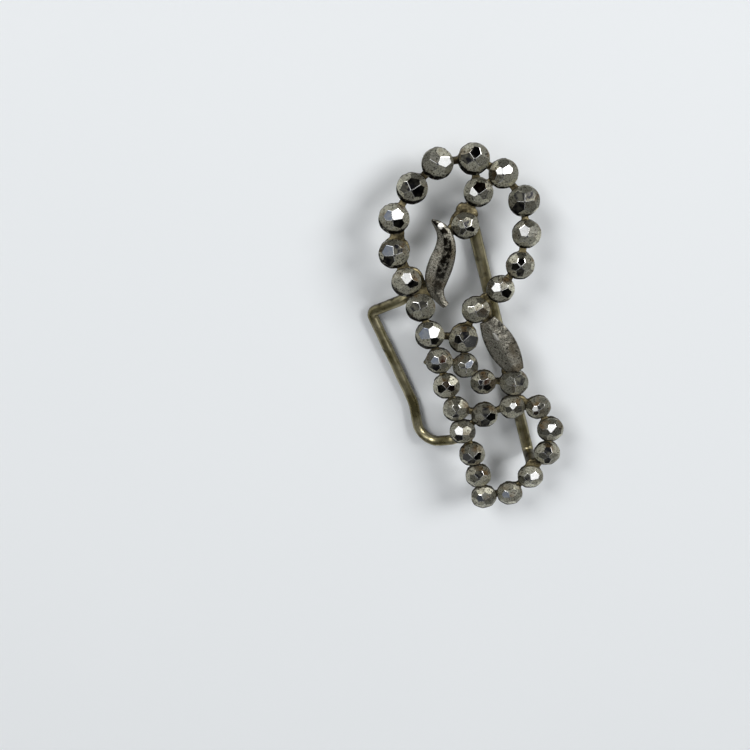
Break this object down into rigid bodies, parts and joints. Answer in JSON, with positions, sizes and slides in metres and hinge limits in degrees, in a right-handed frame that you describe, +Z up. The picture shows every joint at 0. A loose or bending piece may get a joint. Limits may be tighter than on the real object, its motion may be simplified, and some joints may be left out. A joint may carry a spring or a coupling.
{
  "type": "sash buckle half",
  "caption": "Openwork scrolled buckle half set with faceted steel studs, with a bar for the sash behind and a wire loop for the other half's hook.",
  "frame": {"origin": "on the surface that the buckle lies on, under the middle of its bounding box", "axes": "+Y along the sash bar towards the upper scroll, +X away from the wire loop, +Z up out of the stud heads"},
  "size_m": [0.021, 0.0438, 0.0053],
  "materials": {
    "tarnished_brass": "drawn wire and cut sheet, tarnished olive brown with dull solder",
    "pitted_steel": "ground facets, pitted and dull with brown spots",
    "cut_steel": "polished facets, finely pitted, with bright worn edges"
  },
  "bodies": {
    "root": {"frame": "tarnished_brass", "leaf": "pitted_steel", "navette": "pitted_steel", "stud_crown_1": "cut_steel", "stud_crown_2": "cut_steel", "stud_crown_3": "cut_steel", "stud_crown_4": "cut_steel", "stud_crown_5": "cut_steel", "stud_crown_6": "cut_steel", "stud_crown_7": "cut_steel", "stud_crown_8": "cut_steel", "stud_tip_1": "cut_steel", "stud_tip_2": "cut_steel", "stud_inner_1": "cut_steel", "stud_inner_2": "cut_steel", "stud_inner_3": "cut_steel", "stud_inner_4": "cut_steel", "stud_inner_5": "cut_steel", "stud_inner_6": "cut_steel", "stud_inner_7": "cut_steel", "stud_waist_1": "cut_steel", "stud_waist_2": "cut_steel", "stud_hook_1": "cut_steel", "stud_stem_1": "cut_steel", "stud_stem_2": "cut_steel", "stud_stem_3": "cut_steel", "stud_stem_4": "cut_steel", "stud_stem_5": "cut_steel", "stud_stem_6": "cut_steel", "stud_stem_7": "cut_steel", "stud_foot_1": "cut_steel", "stud_foot_2": "cut_steel", "stud_foot_3": "cut_steel", "stud_foot_4": "cut_steel", "stud_foot_5": "cut_steel", "stud_link_1": "cut_steel", "stud_link_2": "cut_steel"}
  },
  "joints": []
}
